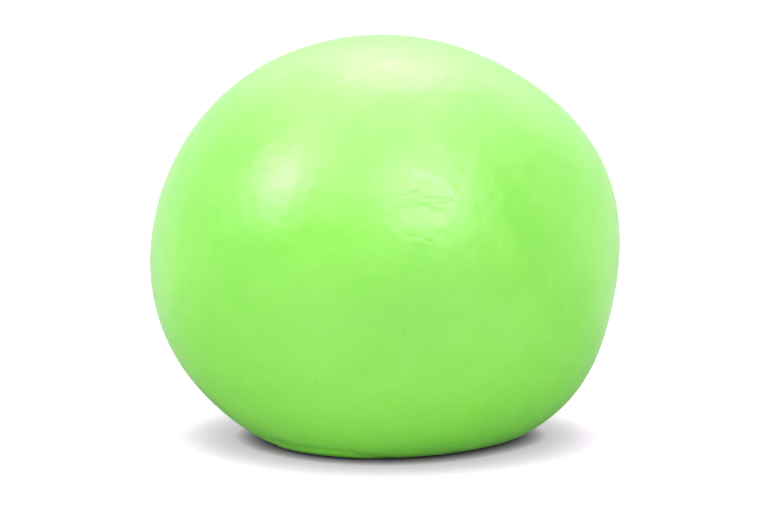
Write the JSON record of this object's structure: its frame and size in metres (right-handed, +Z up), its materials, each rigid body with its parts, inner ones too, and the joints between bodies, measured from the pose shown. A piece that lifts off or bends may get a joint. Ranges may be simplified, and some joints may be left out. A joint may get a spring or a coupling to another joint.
{
  "type": "stress ball",
  "caption": "Soft rubber squeeze ball full of heavy dough, sagged onto a flat resting face, with a plugged and sealed filling port on its front.",
  "frame": {"origin": "on the resting face, straight below the ball's middle", "axes": "+Z up, -Y out of the front that carries the port, +X to the right of someone facing the front"},
  "size_m": [0.0691, 0.0658, 0.0594],
  "materials": {
    "skin_rubber": "soft satin, slightly translucent lime-green thermoplastic rubber",
    "dough": "matt off-white dough",
    "plug_rubber": "satin lime-green rubber",
    "cured_glue": "clear yellowish cured glue",
    "seal_rubber": "wrinkled matt lime-green rubber film"
  },
  "bodies": {
    "ball": {"outer_skin": "skin_rubber", "dough_filling": "dough"},
    "port": {"fill_plug": "plug_rubber", "plug_glue": "cured_glue", "seal_patch": "seal_rubber"}
  },
  "joints": [
    {"name": "squeeze", "type": "slide", "parent": "ball", "child": "port", "axis": [0, 0, -1], "range_m": [0, 0.0139], "stiffness_N_per_m": 1200, "deforming": ["outer_skin", "dough_filling"]}
  ]
}
